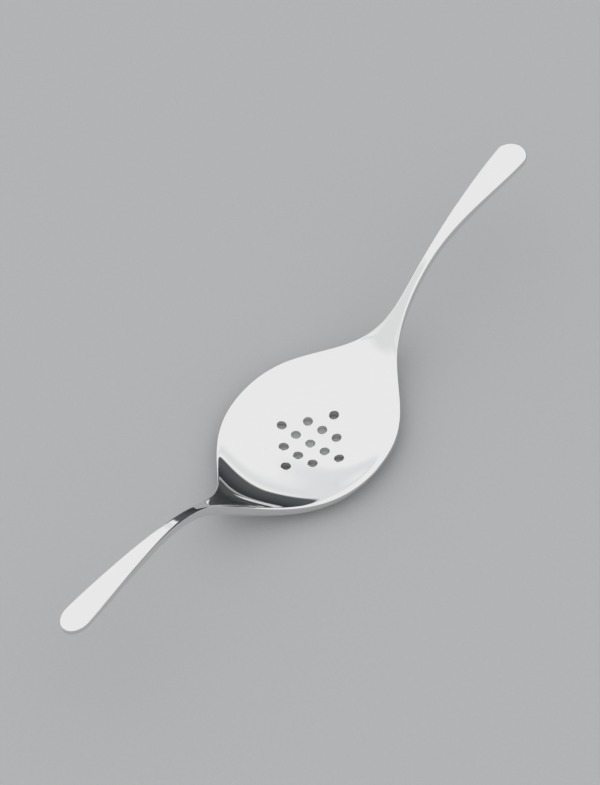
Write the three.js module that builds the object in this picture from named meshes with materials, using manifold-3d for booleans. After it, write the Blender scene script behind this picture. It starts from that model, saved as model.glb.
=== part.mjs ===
// Absinthe spoon with two handles, in millimetres. X runs along the spoon, Z is up and
// the spoon stands on the ground flat under its bowl. A dished and drilled bowl carries
// two forged handles, each brazed end to end to the bowl's neck stub.
import * as THREE from 'three';
import { mergeVertices } from 'three/addons/utils/BufferGeometryUtils.js';
import Module from 'manifold-3d';

// Outline, seen from above
const OVERALL_LENGTH = 180;
const BOWL_WIDTH = 41.1;
const BOWL_REACH = 37.2; // sets how far the bowl's sides stay full
const SHOULDER_REACH = 30.4; // sets where the shoulders draw in to the neck
const NECK_WIDTH = 2.42;
const NECK_AT = 47.9; // the narrowest place, from the middle of the spoon
const LEFT_PADDLE_WIDTH = 6.85;
const RIGHT_PADDLE_WIDTH = 8.2;
const PADDLE_AT = 91; // where the widening of the handles levels out, just past the tip
const LEFT_TIP_LENGTH = 4.9; // length of the rounded end
const RIGHT_TIP_LENGTH = 4.1;

// Rise of the handles over the bowl's rim
const HANDLE_RISE = 23.1;
const LEFT_BEND_AT = 37.1; // half-way up the left handle's S-bend
const RIGHT_BEND_AT = 40.8; // half-way up the right handle's S-bend
const LEFT_BEND_SHARPNESS = 5.5;
const RIGHT_BEND_SHARPNESS = 6.2;

// Dish of the bowl: a hollow in the middle of a shallow channel from neck to neck
const BOWL_DEPTH = 3.9; // inside, from the rim down to the floor
const HOLLOW_REACH = 13; // how fast the hollow runs out towards the necks
const CHANNEL_DEPTH = 0.9;
const CHANNEL_FADES_AT = 24;
const CHANNEL_ENDS_AT = 44;
const FLOOR_ROUNDNESS = 0.95; // 1 is an even curve, 0 a flat floor with steep sides
const RIM_LIP = 1.0; // level edge round the dish, at the middle of the bowl
const LIP_BLEND = 0.06; // softness of the turn from dish to lip, as a share of the depth
const FOOT_CUT = 0.2; // depth of the ground flat that the spoon stands on

// Thickness of the metal
const BOWL_SHEET = 1.2; // at the middle of the bowl
const NECK_THICKNESS = 2.9;
const PADDLE_THICKNESS = 1.7;
const FULL_METAL_AT = 28; // the metal thickens up to here
const EDGE_RADIUS = 0.3;
const NECK_EDGE_RADIUS = 0.75; // the necks are nearly round bars
const FLATTENED_AT = 65; // out here the bars are beaten flat

// Joints and drain holes
const JOINT_AT = 38; // butt faces between bowl and handles
const HOLE_DIAMETER = 2.4;
const HOLE_PITCH_ALONG = 4.9;
const HOLE_PITCH_ACROSS = 4.4;
const HOLE_RINGS = 2; // rows of holes out from the middle one
const HOLE_FIELD_X = -1.05; // the drilled field sits a little off the middle
const HOLE_FIELD_Y = -1.05;

// Facets
const BOWL_SECTIONS = 48;
const HANDLE_SECTIONS = 34;
const TIP_SECTIONS = 7;
const BOWL_SECTION_POINTS = 24;
const HANDLE_SECTION_POINTS = 12;
const HOLE_SIDES = 24;
const TIP_STOP = 0.003; // the last section stands this far short of the tip
const JUST_INSIDE = 0.999; // slopes across are taken this share of the way out

const HALF_LENGTH = OVERALL_LENGTH / 2;
const RIM_HEIGHT = BOWL_DEPTH + BOWL_SHEET - FOOT_CUT;

function blend(from, to, x) {
  return THREE.MathUtils.smoothstep(x, from, to);
}

function tipLength(x) {
  return x < 0 ? LEFT_TIP_LENGTH : RIGHT_TIP_LENGTH;
}

// Half-width of the outline: a bell for the bowl, on a handle that widens to its paddle
function halfWidth(x) {
  const out = Math.abs(x);
  const bell = Math.exp(-((out / BOWL_REACH) ** 2) - (out / SHOULDER_REACH) ** 4);
  const paddle = x < 0 ? LEFT_PADDLE_WIDTH : RIGHT_PADDLE_WIDTH;
  const flare = ((paddle - NECK_WIDTH) / 2) * blend(NECK_AT, PADDLE_AT, out);
  const full = NECK_WIDTH / 2 + flare + ((BOWL_WIDTH - NECK_WIDTH) / 2) * bell;
  const intoTip = Math.max(0, 1 - (HALF_LENGTH - out) / tipLength(x));
  return full * Math.sqrt(Math.max(0, 1 - intoTip ** 2));
}

// Height of the rim and of the handles' edges, an S-bend that levels out to the paddles
function rimHeight(x) {
  const bendAt = x < 0 ? LEFT_BEND_AT : RIGHT_BEND_AT;
  const sharpness = x < 0 ? LEFT_BEND_SHARPNESS : RIGHT_BEND_SHARPNESS;
  const steps = (Math.abs(x) / bendAt) ** sharpness;
  return RIM_HEIGHT + (HANDLE_RISE * steps) / (1 + steps);
}

// Depth of the dish along the middle line
function dishDepth(x) {
  const hollow = (BOWL_DEPTH - CHANNEL_DEPTH) * Math.exp(-((x / HOLLOW_REACH) ** 2));
  return hollow + CHANNEL_DEPTH * (1 - blend(CHANNEL_FADES_AT, CHANNEL_ENDS_AT, Math.abs(x)));
}

// Height of the upper face: the dish is pressed down into it, inside a level lip
function faceHeight(x, y) {
  const lip = RIM_LIP / (BOWL_WIDTH / 2);
  const across = Math.min(1, Math.abs(y) / halfWidth(x)) / (1 - lip);
  const hollow = 1 - FLOOR_ROUNDNESS * across ** 2 - (1 - FLOOR_ROUNDNESS) * across ** 4;
  const dished = (hollow + Math.hypot(hollow, LIP_BLEND)) / 2;
  return rimHeight(x) - dishDepth(x) * dished;
}

function thickness(x) {
  const out = Math.abs(x);
  const gained = (NECK_THICKNESS - BOWL_SHEET) * blend(0, FULL_METAL_AT, out);
  const lost = (NECK_THICKNESS - PADDLE_THICKNESS) * blend(NECK_AT, PADDLE_AT, out);
  return BOWL_SHEET + gained - lost;
}

// Radius of the rounded edges: it grows from the bowl to the necks and then goes down again
function edgeRadius(x) {
  const out = Math.abs(x);
  const necked = blend(0, NECK_AT, out) * (1 - blend(NECK_AT, FLATTENED_AT, out));
  return EDGE_RADIUS + (NECK_EDGE_RADIUS - EDGE_RADIUS) * necked;
}

// Slope of a function of one value, by a small step each way
function slope(f, at) {
  const step = 0.001;
  return (f(at + step) - f(at - step)) / (2 * step);
}

// One closed section across the spoon: the upper face from side to side, then the lower
// one back, both turned in at the edge by the edge's radius
function section(x, points) {
  const width = halfWidth(x);
  const metal = thickness(x);
  const radius = edgeRadius(x);
  const lean = Math.hypot(1, slope(halfWidth, x));
  const upper = [];
  const lower = [];
  for (let i = 0; i <= points; i += 1) {
    const y = width * Math.sin(Math.PI * (i / points - 0.5));
    const fromEdge = Math.min(1, (width - Math.abs(y)) / lean / radius);
    const turnIn = radius * (1 - Math.sqrt(1 - (1 - fromEdge) ** 2));
    const steepX = slope((at) => faceHeight(at, y), x);
    const steepY = slope((at) => faceHeight(x, at), y * JUST_INSIDE);
    const upright = Math.hypot(1, steepX, steepY);
    const top = faceHeight(x, y);
    upper.push([x, y, top - turnIn * upright]);
    lower.unshift([x, y, top - (metal - turnIn) * upright]);
  }
  return upper.concat(lower);
}

// A closed skin over a row of sections that all have the same number of points
function loft(sections) {
  const size = sections[0].length;
  const index = [];
  for (let s = 0; s + 1 < sections.length; s += 1) {
    for (let i = 0; i < size; i += 1) {
      const a = s * size + i;
      const b = s * size + ((i + 1) % size);
      index.push(a, a + size, b, b, a + size, b + size);
    }
  }
  const half = size / 2;
  const last = (sections.length - 1) * size;
  for (let i = 0; i + 1 < half; i += 1) {
    const across = size - 1 - i;
    index.push(i, i + 1, across, across, i + 1, across - 1);
    index.push(last + i, last + across, last + i + 1);
    index.push(last + across, last + across - 1, last + i + 1);
  }
  const skin = new THREE.BufferGeometry();
  skin.setAttribute('position', new THREE.Float32BufferAttribute(sections.flat(2), 3));
  skin.setIndex(index);
  return skin;
}

const wasm = await Module();
wasm.setup();

function toSolid(geometry) {
  const bare = geometry.clone();
  bare.deleteAttribute('normal');
  bare.deleteAttribute('uv');
  const merged = mergeVertices(bare);
  return new wasm.Manifold(new wasm.Mesh({
    numProp: 3,
    vertProperties: new Float32Array(merged.attributes.position.array),
    triVerts: new Uint32Array(merged.index.array),
  }));
}

function toGeometry(solid) {
  const mesh = solid.getMesh();
  const geometry = new THREE.BufferGeometry();
  geometry.setAttribute('position', new THREE.BufferAttribute(mesh.vertProperties, 3));
  geometry.setIndex(new THREE.BufferAttribute(mesh.triVerts, 1));
  return geometry;
}

// The bowl, from one butt face to the other
function bowlSkin() {
  const sections = [];
  for (let s = 0; s <= BOWL_SECTIONS; s += 1) {
    const x = JOINT_AT * ((2 * s) / BOWL_SECTIONS - 1);
    sections.push(section(x, BOWL_SECTION_POINTS));
  }
  return loft(sections);
}

// A drill for each drain hole: a square grid cut to a diamond
function drills() {
  const tall = 2 * (RIM_HEIGHT + BOWL_SHEET);
  let all = null;
  for (let i = -HOLE_RINGS; i <= HOLE_RINGS; i += 1) {
    const reach = HOLE_RINGS - Math.abs(i);
    for (let j = -reach; j <= reach; j += 1) {
      const drill = new THREE.CylinderGeometry(
        HOLE_DIAMETER / 2, HOLE_DIAMETER / 2, tall, HOLE_SIDES);
      drill.rotateX(Math.PI / 2);
      drill.translate(
        HOLE_FIELD_X + i * HOLE_PITCH_ALONG, HOLE_FIELD_Y + j * HOLE_PITCH_ACROSS, 0);
      const solid = toSolid(drill);
      all = all ? all.add(solid) : solid;
    }
  }
  return all;
}

// The flat under the bowl is ground off by a block whose upper face is the table
function grinding() {
  const deep = 2 * FOOT_CUT;
  const block = new THREE.BoxGeometry(2 * JOINT_AT, BOWL_WIDTH, deep);
  block.translate(0, 0, -deep / 2);
  return toSolid(block);
}

// A handle, from its butt face to the rounded tip; side is -1 on the left, 1 on the right
function handleSkin(side) {
  const rounded = tipLength(side);
  const tipFrom = HALF_LENGTH - rounded;
  const places = [];
  for (let s = 0; s <= HANDLE_SECTIONS; s += 1) {
    places.push(THREE.MathUtils.lerp(JOINT_AT, tipFrom, s / HANDLE_SECTIONS));
  }
  for (let s = 1; s < TIP_SECTIONS; s += 1) {
    places.push(tipFrom + rounded * Math.sin((Math.PI / 2) * (s / TIP_SECTIONS)));
  }
  places.push(HALF_LENGTH - TIP_STOP);
  if (side < 0) places.reverse();
  return loft(places.map((out) => section(side * out, HANDLE_SECTION_POINTS)));
}

const silver = new THREE.MeshStandardMaterial({
  color: 0xdcdddd, roughness: 0.12, metalness: 1,
});

function piece(name, geometry) {
  const flat = geometry.toNonIndexed();
  flat.computeVertexNormals();
  const mesh = new THREE.Mesh(flat, silver);
  mesh.name = name;
  return mesh;
}

const spoon = new THREE.Group();
spoon.name = 'absinthe_spoon';
spoon.add(piece('bowl', toGeometry(
  toSolid(bowlSkin()).subtract(grinding()).subtract(drills()))));
spoon.add(piece('left_handle', handleSkin(-1)));
spoon.add(piece('right_handle', handleSkin(1)));

export default spoon;
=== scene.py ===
import math

import bmesh
import bpy
import numpy as np
from mathutils import Euler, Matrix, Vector


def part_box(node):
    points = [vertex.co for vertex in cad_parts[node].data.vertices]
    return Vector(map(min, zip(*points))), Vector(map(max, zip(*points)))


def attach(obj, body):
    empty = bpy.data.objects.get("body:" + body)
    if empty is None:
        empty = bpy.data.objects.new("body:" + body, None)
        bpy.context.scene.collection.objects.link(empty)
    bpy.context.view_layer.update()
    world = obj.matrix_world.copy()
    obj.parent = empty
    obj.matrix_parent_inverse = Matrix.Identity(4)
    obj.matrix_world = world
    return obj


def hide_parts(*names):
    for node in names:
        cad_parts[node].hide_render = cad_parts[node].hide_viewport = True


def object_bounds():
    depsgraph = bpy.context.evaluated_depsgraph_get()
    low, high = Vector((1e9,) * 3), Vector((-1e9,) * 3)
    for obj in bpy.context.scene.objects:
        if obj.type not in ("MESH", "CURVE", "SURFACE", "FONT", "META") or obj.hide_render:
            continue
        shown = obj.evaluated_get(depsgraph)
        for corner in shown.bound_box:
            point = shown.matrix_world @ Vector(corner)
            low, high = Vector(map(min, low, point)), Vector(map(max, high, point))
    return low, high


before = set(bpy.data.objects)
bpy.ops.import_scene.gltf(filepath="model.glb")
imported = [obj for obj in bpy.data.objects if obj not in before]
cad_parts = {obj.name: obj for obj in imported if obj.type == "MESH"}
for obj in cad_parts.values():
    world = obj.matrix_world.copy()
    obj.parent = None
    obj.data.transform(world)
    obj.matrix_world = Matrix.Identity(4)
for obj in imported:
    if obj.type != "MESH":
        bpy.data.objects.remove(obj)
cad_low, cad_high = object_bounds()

# The bowl. A blank of polished silver sheet, drawn in to a neck stub at each end, drilled
# with a diamond of drain holes and then pressed into a dish. Its rim is rounded over with
# a file and polished, and the spot it stands on is ground flat.
MM = 0.001
joint_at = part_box("bowl")[1].x
bowl_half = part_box("bowl")[1].y
half_length = cad_high.x
neck_half = 1.21 * MM
neck_at = 47.9 * MM
left_paddle_half = 3.425 * MM
right_paddle_half = 4.1 * MM
paddle_at = 91 * MM
left_tip = 4.9 * MM
right_tip = 4.1 * MM
side_reach = 37.2 * MM
shoulder_reach = 30.4 * MM
foot_cut = 0.2 * MM
bowl_depth = 3.9 * MM
hollow_reach = 13 * MM
channel_depth = 0.9 * MM
channel_fades_at = 24 * MM
channel_ends_at = 44 * MM
floor_roundness = 0.95
rim_lip = 1.0 * MM
lip_blend = 0.06
bowl_sheet = 1.2 * MM
neck_thickness = 2.9 * MM
paddle_thickness = 1.7 * MM
full_metal_at = 28 * MM
edge_radius = 0.3 * MM
neck_edge_radius = 0.75 * MM
flattened_at = 65 * MM
handle_rise = 23.1 * MM
left_bend_at = 37.1 * MM
right_bend_at = 40.8 * MM
left_sharpness = 5.5
right_sharpness = 6.2
rim_level = bowl_depth + bowl_sheet - foot_cut


# The drawing that all three pieces follow, at x along the spoon and y across it: width,
# height of the rim, hollow of the dish, thickness of the metal and rounding of its edge
def ease(start, end, x):
    t = np.clip((x - start) / (end - start), 0, 1)
    return t * t * (3 - 2 * t)


def half_width(x):
    out = np.abs(x)
    bell = np.exp(-((out / side_reach) ** 2) - (out / shoulder_reach) ** 4)
    paddle_half = np.where(x < 0, left_paddle_half, right_paddle_half)
    flare = (paddle_half - neck_half) * ease(neck_at, paddle_at, out)
    full = neck_half + flare + (bowl_half - neck_half) * bell
    into_tip = np.maximum(0, 1 - (half_length - out) / np.where(x < 0, left_tip, right_tip))
    return full * np.sqrt(np.maximum(0, 1 - into_tip**2))


def rim_height(x):
    bend_at = np.where(x < 0, left_bend_at, right_bend_at)
    climb = (np.abs(x) / bend_at) ** np.where(x < 0, left_sharpness, right_sharpness)
    return rim_level + handle_rise * climb / (1 + climb)


def dish_depth(x):
    hollow = (bowl_depth - channel_depth) * np.exp(-((x / hollow_reach) ** 2))
    return hollow + channel_depth * (1 - ease(channel_fades_at, channel_ends_at, np.abs(x)))


def face_height(x, y):
    least_width = 1e-9
    across = np.minimum(1, np.abs(y) / np.maximum(half_width(x), least_width))
    across = across / (1 - rim_lip / bowl_half)
    hollow = 1 - floor_roundness * across**2 - (1 - floor_roundness) * across**4
    dished = (hollow + np.hypot(hollow, lip_blend)) / 2
    return rim_height(x) - dish_depth(x) * dished


def thickness(x):
    out = np.abs(x)
    gained = (neck_thickness - bowl_sheet) * ease(0, full_metal_at, out)
    lost = (neck_thickness - paddle_thickness) * ease(neck_at, paddle_at, out)
    return bowl_sheet + gained - lost


# How much further it is straight down through the metal than square to its face
def stand_up(x, y):
    step = 0.002 * MM
    within_edge = 0.999
    inside = y * within_edge
    steep_x = (face_height(x + step, y) - face_height(x - step, y)) / (2 * step)
    steep_y = (face_height(x, inside + step) - face_height(x, inside - step)) / (2 * step)
    return np.sqrt(1 + steep_x**2 + steep_y**2)


def edge_round(x):
    out = np.abs(x)
    necked = ease(0, neck_at, out) * (1 - ease(neck_at, flattened_at, out))
    return edge_radius + (neck_edge_radius - edge_radius) * necked


def edge_distance(x, y):
    step = 0.0001 * MM
    slope = (half_width(x + step) - half_width(x - step)) / (2 * step)
    return (half_width(x) - np.abs(y)) / np.sqrt(1 + slope**2)


def round_over(from_edge, radius):
    gone = 1 - np.clip(from_edge / radius, 0, 1)
    return radius * (1 - np.sqrt(1 - gone**2))


def places(mesh):
    flat = np.empty(len(mesh.vertices) * 3)
    mesh.vertices.foreach_get("co", flat)
    return flat.reshape(-1, 3)


def set_places(mesh, points):
    mesh.vertices.foreach_set("co", points.ravel())
    mesh.update()


hole_radius = 1.2 * MM
pitch_along = 4.9 * MM
pitch_across = 4.4 * MM
hole_rings = 2
field_x = -1.05 * MM
field_y = -1.05 * MM
hole_centres = [
    Vector((field_x + i * pitch_along, field_y + j * pitch_across, 0))
    for i in range(-hole_rings, hole_rings + 1)
    for j in range(-hole_rings, hole_rings + 1)
    if abs(i) + abs(j) <= hole_rings
]

# Grid lines of the blank: half a hole pitch apart in the drilled field, a little wider
# towards the neck stubs and closer together towards the rim
field_along = (hole_rings + 0.5) * pitch_along
field_across = (hole_rings + 0.5) * pitch_across
field_cells = 2 * hole_rings + 1
shoulder_cells = 9
side_shares = [0.27, 0.53, 0.76, 0.90, 1.0]
field_lines = 2 * field_cells + 1
field_left, field_right = field_x - field_along, field_x + field_along
field_near, field_far = field_y - field_across, field_y + field_across
columns = list(np.linspace(-joint_at, field_left, shoulder_cells + 1)[:-1])
columns += list(np.linspace(field_left, field_right, field_lines))
columns += list(np.linspace(field_right, joint_at, shoulder_cells + 1)[1:])
rows = [(field_near, -share) for share in reversed(side_shares)]
rows += [(y, 0) for y in np.linspace(field_near, field_far, field_lines)]
rows += [(field_far, share) for share in side_shares]


# Where a row lies across the blank: straight along the drilled field, then drawn in
def in_outline(x, row):
    start, share = row
    held = half_width(np.clip(x, field_left, field_right))
    here = start + abs(share) * (math.copysign(held, share) - start)
    return here * half_width(x) / held


def select_verts(mesh, wanted):
    bpy.ops.mesh.select_mode(type="VERT")
    bpy.ops.mesh.select_all(action="DESELECT")
    blank = bmesh.from_edit_mesh(mesh)
    for vert in blank.verts:
        vert.select = wanted(vert.co)
    blank.select_flush(True)
    bmesh.update_edit_mesh(mesh)


blank_size = 1
bpy.ops.object.select_all(action="DESELECT")
bpy.ops.mesh.primitive_grid_add(
    x_subdivisions=len(columns) - 1, y_subdivisions=len(rows) - 1, size=blank_size)
bowl = bpy.context.object
bowl.name = "strainer_bowl"
points = places(bowl.data)
column_of = np.rint((points[:, 0] / blank_size + 0.5) * (len(columns) - 1)).astype(int)
row_of = np.rint((points[:, 1] / blank_size + 0.5) * (len(rows) - 1)).astype(int)
points[:, 0] = [columns[c] for c in column_of]
points[:, 1] = [in_outline(columns[c], rows[r]) for c, r in zip(column_of, row_of)]
points[:, 2] = 0
set_places(bowl.data, points)

# Each hole: the four cells round its centre are inset, the middle is taken out and the
# ring that is left is drawn to a circle, wide enough to come out round when subdivided
ring_points = 8
ring_swell = 3 / (2 + math.cos(2 * math.pi / ring_points))
cell_reach = 0.6 * pitch_along
inset_width = 1.0 * MM
centre_within = 0.1 * MM
ring_within = 2.0 * MM
bpy.ops.object.mode_set(mode="EDIT")
for centre in hole_centres:
    select_verts(bowl.data, lambda co: abs(co.x - centre.x) < cell_reach
                 and abs(co.y - centre.y) < cell_reach)
    bpy.ops.mesh.select_mode(type="FACE")
    bpy.ops.mesh.inset(thickness=inset_width, use_boundary=True)
    select_verts(bowl.data, lambda co: (co - centre).length < centre_within)
    bpy.ops.mesh.delete(type="VERT")
    select_verts(bowl.data, lambda co: (co - centre).length < ring_within)
    bpy.ops.transform.tosphere(value=1)
    ring = [v.co for v in bmesh.from_edit_mesh(bowl.data).verts if v.select]
    wide = sum((co - centre).length for co in ring) / len(ring)
    factor = hole_radius * ring_swell / wide
    bpy.ops.transform.resize(value=(factor, factor, 1), center_override=centre)
bpy.ops.object.mode_set(mode="OBJECT")


def apply_modifier(piece, kind, **settings):
    modifier = piece.modifiers.new(kind.title(), kind)
    for name, value in settings.items():
        setattr(modifier, name, value)
    bpy.context.view_layer.objects.active = piece
    bpy.ops.object.modifier_apply(modifier=modifier.name)


fineness = 3
apply_modifier(bowl, "SUBSURF", levels=fineness, render_levels=fineness,
               boundary_smooth="PRESERVE_CORNERS")

# The subdivided edge is brought back to the drawn outline, and the mesh is bunched up
# towards the rim and the holes, where the metal is rounded over
points = places(bowl.data)
edge_uses = {}
for face in bowl.data.polygons:
    for key in face.edge_keys:
        edge_uses[key] = edge_uses.get(key, 0) + 1
border = np.array(sorted({v for key, uses in edge_uses.items() if uses == 1 for v in key}))
bunched = 0.6 * MM
rim_bunched = 1 - side_shares[-2]
hole_edge_within = 1.3 * hole_radius
joint_slack = 0.001 * MM
from_hole = np.full(len(points), np.inf)
nearest = np.zeros((len(points), 2))
for centre in hole_centres:
    away = np.hypot(points[:, 0] - centre.x, points[:, 1] - centre.y)
    closer = away < from_hole
    from_hole[closer] = away[closer]
    nearest[closer] = centre.xy
on_hole = border[from_hole[border] < hole_edge_within]
on_rim = np.setdiff1d(border, on_hole)
upper_rim = on_rim[points[on_rim, 1] > 0]
order = np.argsort(points[upper_rim, 0])
drawn = np.interp(points[:, 0], points[upper_rim[order], 0], points[upper_rim[order], 1])
ends = np.abs(points[:, 0]) > joint_at - joint_slack
drawn[ends] = np.abs(points[ends, 1]).max()
share = np.clip(np.abs(points[:, 1]) / drawn, 0, 1)
rim_row = rim_bunched * (1 - field_across / bowl_half)
outer = share > 1 - rim_row
share[outer] = 1 - (1 - share[outer]) ** 2 / rim_row
points[:, 1] = np.sign(points[:, 1]) * share * half_width(points[:, 0])
gap = np.maximum(from_hole - hole_radius, 0)
gap[on_hole] = 0
close = gap < bunched
wanted = hole_radius + gap[close] ** 2 / bunched
outward = (points[close, :2] - nearest[close]) / from_hole[close, None]
points[close, :2] = nearest[close] + outward * wanted[:, None]
set_places(bowl.data, points)

apply_modifier(bowl, "SOLIDIFY", thickness=bowl_sheet, offset=-1)

# The press: every point of the flat blank goes to its height in the dish, less what is
# rounded off the rim and the holes, and what would reach below the table is ground off
hole_burr = 0.05 * MM
smooth_below = math.radians(35)
points = places(bowl.data)
x, y = points[:, 0], points[:, 1]
under = points[:, 2] < -bowl_sheet / 2
from_hole = np.min([np.hypot(x - c.x, y - c.y) for c in hole_centres], axis=0) - hole_radius
taken = np.maximum(round_over(edge_distance(x, y), edge_round(x)),
                   round_over(from_hole, hole_burr))
depth = np.where(under, thickness(x) - taken, taken)
points[:, 2] = np.maximum(face_height(x, y) - depth * stand_up(x, y), 0)
set_places(bowl.data, points)
bpy.ops.object.shade_smooth_by_angle(angle=smooth_below)


def linear(hex_colour):
    levels = [int(hex_colour[i:i + 2], 16) / 255 for i in (1, 3, 5)]
    return [v / 12.92 if v <= 0.04045 else ((v + 0.055) / 1.055) ** 2.4 for v in levels] + [1]


def add(tree, kind, settings, links):
    node = tree.nodes.new(kind)
    for name, value in settings.items():
        if isinstance(name, str) and hasattr(node, name):
            setattr(node, name, value)
        else:
            node.inputs[name].default_value = value
    for name, source in links.items():
        tree.links.new(source, node.inputs[name])
    return node


# Polished silver, hammered and then buffed: nearly a mirror, with the faint unevenness of
# hand work, straight polishing lines along the spoon, drawn coarser than real ones, and
# slightly duller smears
silver_colour = "#e8e8e8"
line_spacing = 0.12 * MM
line_depth = 0.0003 * MM
line_stretch = 50
smear_size = 9 * MM
smear_levels = [0.35, 0.7]
buffed_roughness = 0.02
smeared_roughness = 0.06
blow_size = 7 * MM
blow_depth = 0.012 * MM
silver = bpy.data.materials.new("polished_silver")
silver.use_nodes = True
tree = silver.node_tree
shader = tree.nodes["Principled BSDF"]
shader.inputs["Base Color"].default_value = linear(silver_colour)
shader.inputs["Metallic"].default_value = 1
where = add(tree, "ShaderNodeTexCoord", {}, {}).outputs["Object"]
along = add(tree, "ShaderNodeMapping", {"Scale": (1 / line_stretch, 1, 1)}, {"Vector": where})
lines = add(tree, "ShaderNodeTexNoise", {"Scale": 1 / line_spacing, "Detail": 3},
            {"Vector": along.outputs["Vector"]})
smears = add(tree, "ShaderNodeTexNoise", {"Scale": 1 / smear_size, "Detail": 4},
             {"Vector": where})
dull = add(tree, "ShaderNodeMapRange", {"From Min": smear_levels[0], "From Max": smear_levels[1],
           "To Min": buffed_roughness, "To Max": smeared_roughness},
           {"Value": smears.outputs["Fac"]})
tree.links.new(dull.outputs["Result"], shader.inputs["Roughness"])
blows = add(tree, "ShaderNodeTexNoise", {"Scale": 1 / blow_size, "Detail": 0},
            {"Vector": where})
hammered = add(tree, "ShaderNodeBump", {"Strength": 1, "Distance": blow_depth},
               {"Height": blows.outputs["Fac"]})
buffed = add(tree, "ShaderNodeBump", {"Strength": 1, "Distance": line_depth},
             {"Height": lines.outputs["Fac"], "Normal": hammered.outputs["Normal"]})
tree.links.new(buffed.outputs["Normal"], shader.inputs["Normal"])
bowl.data.materials.append(silver)
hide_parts("bowl")
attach(bowl, "root")

# The handles. Each is a round silver bar, drawn thin at the neck, flattened to a paddle,
# bent to an S and brazed end to end to the bowl's neck stub, then polished flush.
bar_sides = 64
bar_rings = 150
tip_rings = 30
bar_radius = 1.5 * MM
bar_length = half_length - joint_at
tip_blunt = 0.0001 * MM
side_line = 1e-4


def forge(name, side, tip_length, node):
    bpy.ops.object.select_all(action="DESELECT")
    bpy.ops.mesh.primitive_cylinder_add(
        vertices=bar_sides, radius=bar_radius, depth=bar_length, end_fill_type="NGON",
        location=(side * (joint_at + bar_length / 2), 0, 0), rotation=(0, math.pi / 2, 0))
    handle = bpy.context.object
    handle.name = name
    bpy.ops.object.transform_apply(location=True, rotation=True, scale=True)
    bpy.ops.object.mode_set(mode="EDIT")
    bpy.ops.mesh.select_mode(type="EDGE")
    bpy.ops.mesh.select_all(action="DESELECT")
    bar = bmesh.from_edit_mesh(handle.data)
    for edge in bar.edges:
        ends = [v.co.x for v in edge.verts]
        edge.select = abs(ends[0] - ends[1]) > bar_length / 2
    bmesh.update_edit_mesh(handle.data)
    bpy.ops.mesh.subdivide(number_cuts=bar_rings + tip_rings - 1)
    bpy.ops.object.mode_set(mode="OBJECT")
    points = places(handle.data)
    ring = (np.abs(points[:, 0]) - joint_at) / bar_length * (bar_rings + tip_rings)
    tip_from = half_length - tip_length
    turn = np.clip((ring - bar_rings) / tip_rings, 0, 1) * math.pi / 2
    straight = joint_at + (tip_from - joint_at) * np.minimum(ring / bar_rings, 1)
    out = np.where(ring > bar_rings + 0.5, tip_from + tip_length * np.sin(turn), straight)
    last = ring > bar_rings + tip_rings - 0.5
    out[last] = half_length - tip_blunt
    x = side * out
    y = half_width(x) * points[:, 1] / bar_radius
    up = points[:, 2] / bar_radius
    metal = thickness(x)
    taken = round_over(edge_distance(x, y), edge_round(x))
    lower = np.where(up < -side_line, metal - taken, metal / 2)
    depth = np.where(up > side_line, taken, lower)
    points = np.stack([x, y, face_height(x, y) - depth * stand_up(x, y)], axis=1)
    set_places(handle.data, points)
    bpy.ops.object.shade_smooth_by_angle(angle=smooth_below)
    handle.data.materials.append(silver)
    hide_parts(node)
    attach(handle, "root")


forge("near_handle", -1, left_tip, "left_handle")
forge("far_handle", 1, right_tip, "right_handle")

# The floor: a plain pale tabletop, mottled like matt paper but more coarsely, so that it
# shows, and not part of the spoon.
table_radius = 3
table_sides = 96
fibre_size = 0.8 * MM
fibre_dark = "#b6b7b8"
fibre_light = "#bcbdbe"
bpy.ops.object.select_all(action="DESELECT")
bpy.ops.mesh.primitive_circle_add(
    vertices=table_sides, radius=table_radius, fill_type="NGON")
table = bpy.context.object
table.name = "table"
paper = bpy.data.materials.new("matt_paper")
paper.use_nodes = True
tree = paper.node_tree
shader = tree.nodes["Principled BSDF"]
where = add(tree, "ShaderNodeTexCoord", {}, {}).outputs["Object"]
fibres = add(tree, "ShaderNodeTexNoise", {"Scale": 1 / fibre_size, "Detail": 3},
             {"Vector": where})
mottled = add(tree, "ShaderNodeMix", {"data_type": "RGBA", 6: linear(fibre_dark),
              7: linear(fibre_light)}, {0: fibres.outputs["Fac"]})
tree.links.new(mottled.outputs[2], shader.inputs["Base Color"])
shader.inputs["Roughness"].default_value = 1
shader.inputs["Specular IOR Level"].default_value = 0
table.data.materials.append(paper)

# The light: a white tent down to the table, with a faint grey seam slanting round it and a
# grey cloth hung on one side. Another side is left open under an edge, first level and
# then slanting up with the seam, towards a dark room that is a little lighter higher up.
# The edges of the seam, the cloth and the slant are cosines of the angle from their way.
tent_colour = "#ffffff"
seam_colour = "#eef0f2"
seam_way = Vector((0.119, 0.338, 0.934))
seam_edges = [0.65, 0.682, 0.708, 0.75]
cloth_colour = "#eeefef"
cloth_way = Vector((-0.670, 0.371, 0.643))
cloth_edges = [0.910, 0.964]
room_colour = "#3c3f41"
room_glow = "#5b5e60"
glow_from = math.radians(5)
glow_to = math.radians(21)
opening_slant = 0.62
opening_ceiling = math.radians(29.5)
opening_level = math.radians(24.1)
opening_middle = math.radians(-7)
opening_half = math.radians(52.5)
opening_blur = 0.012
side_blur = 3 * opening_blur
world = bpy.data.worlds.new("light_tent")
bpy.context.scene.world = world
world.use_nodes = True
tree = world.node_tree
sky = add(tree, "ShaderNodeTexCoord", {}, {})
way = add(tree, "ShaderNodeSeparateXYZ", {}, {"Vector": sky.outputs["Generated"]})
near_seam = add(tree, "ShaderNodeVectorMath", {"operation": "DOT_PRODUCT", 1: seam_way},
                {0: sky.outputs["Generated"]})
tent = add(tree, "ShaderNodeValToRGB", {}, {"Fac": near_seam.outputs["Value"]})
ramp = tent.color_ramp.elements
ramp[0].position, ramp[0].color = seam_edges[0], linear(tent_colour)
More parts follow.
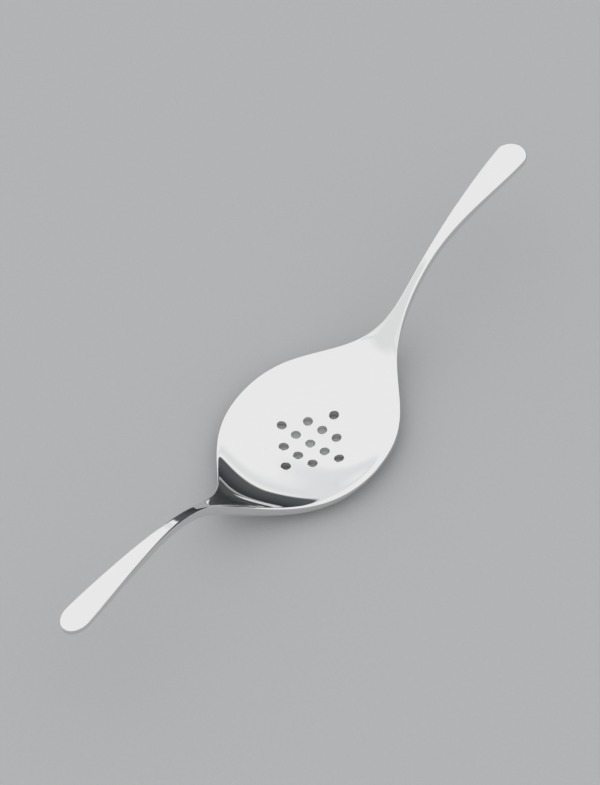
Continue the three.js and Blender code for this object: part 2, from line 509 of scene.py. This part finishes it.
ramp[1].position, ramp[1].color = seam_edges[3], linear(tent_colour)
for edge in seam_edges[1:3]:
    ramp.new(edge).color = linear(seam_colour)
near_cloth = add(tree, "ShaderNodeVectorMath", {"operation": "DOT_PRODUCT", 1: cloth_way},
                 {0: sky.outputs["Generated"]})
on_cloth = add(tree, "ShaderNodeMapRange", {"From Min": cloth_edges[0],
               "From Max": cloth_edges[1]}, {"Value": near_cloth.outputs["Value"]})
hung = add(tree, "ShaderNodeMix", {"data_type": "RGBA", 7: linear(cloth_colour)},
           {0: on_cloth.outputs["Result"], 6: tent.outputs["Color"]})
turn = add(tree, "ShaderNodeMath", {"operation": "ARCTAN2"},
           {0: way.outputs["Y"], 1: way.outputs["X"]})
off = add(tree, "ShaderNodeMath", {"operation": "SUBTRACT", 1: opening_middle},
          {0: turn.outputs[0]})
aside = add(tree, "ShaderNodeMath", {"operation": "ABSOLUTE"}, {0: off.outputs[0]})
opening_edges = [
    (opening_half, side_blur, aside.outputs[0]),
    (opening_slant, opening_blur, near_seam.outputs["Value"]),
    (math.sin(opening_ceiling), opening_blur, way.outputs["Z"]),
    (math.sin(opening_level), opening_blur, way.outputs["Z"]),
]
between, below_slant, below_ceiling, below_level = [
    add(tree, "ShaderNodeMapRange", {"From Min": edge - blur, "From Max": edge + blur,
        "To Min": 1, "To Max": 0}, {"Value": measured}).outputs["Result"]
    for edge, blur, measured in opening_edges
]
slanted = add(tree, "ShaderNodeMath", {"operation": "MULTIPLY"},
              {0: below_slant, 1: below_ceiling})
under_edge = add(tree, "ShaderNodeMath", {"operation": "MAXIMUM"},
                 {0: slanted.outputs[0], 1: below_level})
opening = add(tree, "ShaderNodeMath", {"operation": "MULTIPLY"},
              {0: between, 1: under_edge.outputs[0]})
glow = add(tree, "ShaderNodeMapRange", {"From Min": math.sin(glow_from),
           "From Max": math.sin(glow_to)}, {"Value": way.outputs["Z"]})
room = add(tree, "ShaderNodeMix", {"data_type": "RGBA", 6: linear(room_colour),
           7: linear(room_glow)}, {0: glow.outputs["Result"]})
seen = add(tree, "ShaderNodeMix", {"data_type": "RGBA"},
           {0: opening.outputs[0], 6: hung.outputs[2], 7: room.outputs[2]})
tree.links.new(seen.outputs[2], tree.nodes["Background"].inputs["Color"])
tree.nodes["Background"].inputs["Strength"].default_value = 1

# The camera stands where the photograph was taken from, about two thirds of a metre away.
view_elevation = math.radians(52.25)
view_turn = math.radians(50.99)
view_roll = math.radians(2.5)
view_distance = 671.2 * MM
aim_right = -2.23 * MM
aim_up = 8.96 * MM
frame_height_pixels = 785
focal_pixels = 2743
camera_data = bpy.data.cameras.new("camera")
camera = bpy.data.objects.new("camera", camera_data)
bpy.context.scene.collection.objects.link(camera)
turned = Euler((math.pi / 2 - view_elevation, 0, -view_turn)).to_matrix()
turned = turned @ Euler((0, 0, -view_roll)).to_matrix()
stand = Vector((0, 0, rim_level)) + turned @ Vector((aim_right, aim_up, view_distance))
camera.matrix_world = turned.to_4x4()
camera.location = stand
camera_data.sensor_width = 36
camera_data.lens = camera_data.sensor_width * focal_pixels / frame_height_pixels
camera_data.clip_start = 0.01
bpy.context.scene.camera = camera
bpy.context.scene.view_settings.view_transform = "Standard"
